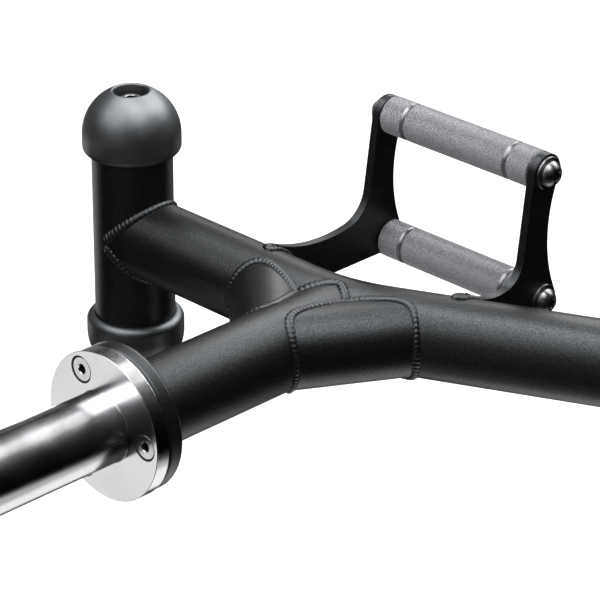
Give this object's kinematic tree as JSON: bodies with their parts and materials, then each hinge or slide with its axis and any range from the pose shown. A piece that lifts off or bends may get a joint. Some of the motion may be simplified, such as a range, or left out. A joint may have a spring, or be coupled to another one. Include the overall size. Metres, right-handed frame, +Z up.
{
  "type": "open-ended hex bar",
  "caption": "Weightlifting trap bar, open at one end, with chromed plate sleeves, raised and level knurled grips, and a jack post with domed rubber caps on each side.",
  "frame": {"origin": "where the common axis of the two sleeves crosses the mid-plane of the bar", "axes": "+X along the sleeves to the right, +Y to the closed rear of the frame, minus Y to the open end, +Z up with the bar held level"},
  "size_m": [2.14, 0.6775, 0.2248],
  "materials": {
    "frame_black": "satin-matte black powder coat with a fine grain",
    "flange_black": "satin black coat on a turned disc",
    "cap_rubber": "smooth satin black moulded rubber",
    "sleeve_chrome": "polished hard chrome",
    "grip_steel": "satin chromed steel with medium knurl and polished grooves",
    "bolt_chrome": "polished button heads and washers",
    "screw_steel": "bright zinc plated steel",
    "plug_steel": "bare machined steel"
  },
  "bodies": {
    "root": {"rear_crossbar": "frame_black", "side_tube_right": "frame_black", "side_tube_left": "frame_black", "sleeve_arm_right": "frame_black", "sleeve_arm_left": "frame_black", "front_gusset_right": "frame_black", "front_gusset_left": "frame_black", "rear_gusset_right": "frame_black", "rear_gusset_left": "frame_black", "handle_plate_front_right": "frame_black", "handle_plate_front_left": "frame_black", "handle_plate_rear_right": "frame_black", "handle_plate_rear_left": "frame_black", "jack_post_right": "frame_black", "jack_post_left": "frame_black", "post_plugs_right": "plug_steel", "post_plugs_left": "plug_steel", "top_cap_right": "cap_rubber", "top_cap_left": "cap_rubber", "bottom_cap_right": "cap_rubber", "bottom_cap_left": "cap_rubber", "cap_washers_right": "screw_steel", "cap_washers_left": "screw_steel", "cap_screws_right": "screw_steel", "cap_screws_left": "screw_steel", "mounting_flange_right": "flange_black", "mounting_flange_left": "flange_black", "sleeve_flange_right": "sleeve_chrome", "sleeve_flange_left": "sleeve_chrome", "flange_screws_right": "screw_steel", "flange_screws_left": "screw_steel", "sleeve_right": "sleeve_chrome", "sleeve_left": "sleeve_chrome", "sleeve_end_cap_right": "sleeve_chrome", "sleeve_end_cap_left": "sleeve_chrome", "upper_grip_right": "grip_steel", "upper_grip_left": "grip_steel", "lower_grip_right": "grip_steel", "lower_grip_left": "grip_steel", "handle_washers_right": "bolt_chrome", "handle_washers_left": "bolt_chrome", "handle_bolts_right": "bolt_chrome", "handle_bolts_left": "bolt_chrome"}
  },
  "joints": []
}
